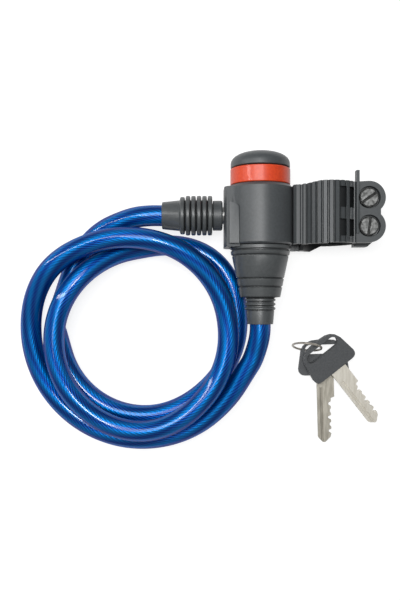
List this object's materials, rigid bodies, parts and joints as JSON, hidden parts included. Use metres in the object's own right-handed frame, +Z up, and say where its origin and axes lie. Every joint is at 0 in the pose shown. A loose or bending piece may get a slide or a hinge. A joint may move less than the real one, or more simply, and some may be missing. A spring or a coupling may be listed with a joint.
{
  "type": "cable lock",
  "caption": "Keyed coiled cable lock for a bicycle: moulded lock body with key cover, sheathed steel cable with a ribbed plug, strap bracket for a frame tube, and keys on a ring.",
  "frame": {"origin": "on the ground, at the middle of the flat land under the lock body, on the line of the plug's axis", "axes": "+X from the plug's cable side towards the frame bracket, +Y along the lock cylinder towards the key cover, +Z up, away from what the lock lies on"},
  "size_m": [0.1752, 0.1433, 0.0308],
  "materials": {
    "housing": "moulded dark grey plastic with a fine matt grain",
    "cover": "satin dark grey plastic cap",
    "band": "glossy red plastic ring",
    "boot": "matt dark grey ribbed rubber",
    "bracket": "ribbed dark grey plastic with a slight sheen",
    "liner": "soft black rubber",
    "cable": "clear blue sheath over twisted steel strands",
    "steel": "zinc plated steel",
    "screw": "plated slotted screw, scuffed",
    "brass": "machined brass",
    "key_metal": "nickel plated key blank, brushed along its length",
    "key_head": "dark grey moulded key head",
    "ring_wire": "plated steel wire"
  },
  "bodies": {
    "lock": {"lock_housing": "housing", "end_plate": "steel", "red_band": "band", "cylinder_case": "brass", "tail_boot": "boot", "tail_crimp": "steel", "tail_cable_end": "cable", "cable_tail": "cable", "cable_coil": "cable", "cable_lead": "cable", "key_ring": "ring_wire"},
    "cover": {"key_cover": "cover"},
    "cylinder": {"key_plug": "brass", "wafer_1": "brass", "wafer_2": "brass", "wafer_3": "brass", "wafer_4": "brass", "wafer_5": "brass", "drive_cam": "steel"},
    "latch": {"latch_bolt": "steel"},
    "plug": {"plug_boot": "boot", "plug_collar": "boot", "plug_pin": "steel", "plug_crimp": "steel", "plug_cable_end": "cable"},
    "bracket": {"clamp_strap": "bracket", "clamp_liner": "liner", "screw_upper": "screw", "nut_upper": "steel", "screw_lower": "screw", "nut_lower": "steel"},
    "key_a": {"key_a_blade": "key_metal", "key_a_head": "key_head"},
    "key_b": {"key_b_blade": "key_metal", "key_b_head": "key_head"}
  },
  "joints": [
    {"name": "cover_turn", "type": "hinge", "parent": "lock", "child": "cover", "pos_m": [0, 0.0267, 0.01509], "axis": [0, 1, 0], "range_deg": [0, 90]},
    {"name": "key_turn", "type": "hinge", "parent": "lock", "child": "cylinder", "pos_m": [0, 0, 0.01509], "axis": [0, -1, 0], "range_deg": [0, 90]},
    {"name": "latch_slide", "type": "slide", "parent": "lock", "child": "latch", "axis": [0, 0, -1], "range_m": [0, 0.00226]},
    {"name": "plug_pull", "type": "slide", "parent": "lock", "child": "plug", "axis": [-1, 0, 0], "range_m": [0, 0.009], "deforming": ["cable_lead"]},
    {"name": "bracket_slide", "type": "slide", "parent": "lock", "child": "bracket", "axis": [0, 1, 0], "range_m": [0, 0.028]},
    {"name": "key_a_swing", "type": "hinge", "parent": "lock", "child": "key_a", "pos_m": [0.0305, -0.0639, 0.008], "axis": [0, 0, 1], "range_deg": [0, 30]},
    {"name": "key_b_swing", "type": "hinge", "parent": "lock", "child": "key_b", "pos_m": [0.0288, -0.0652, 0.003], "axis": [0, 0, 1], "range_deg": [-20, 0]}
  ],
  "couplings": [
    {"joint": "latch_slide", "follows": "key_turn", "m_per_rad": 0.0014405}
  ]
}
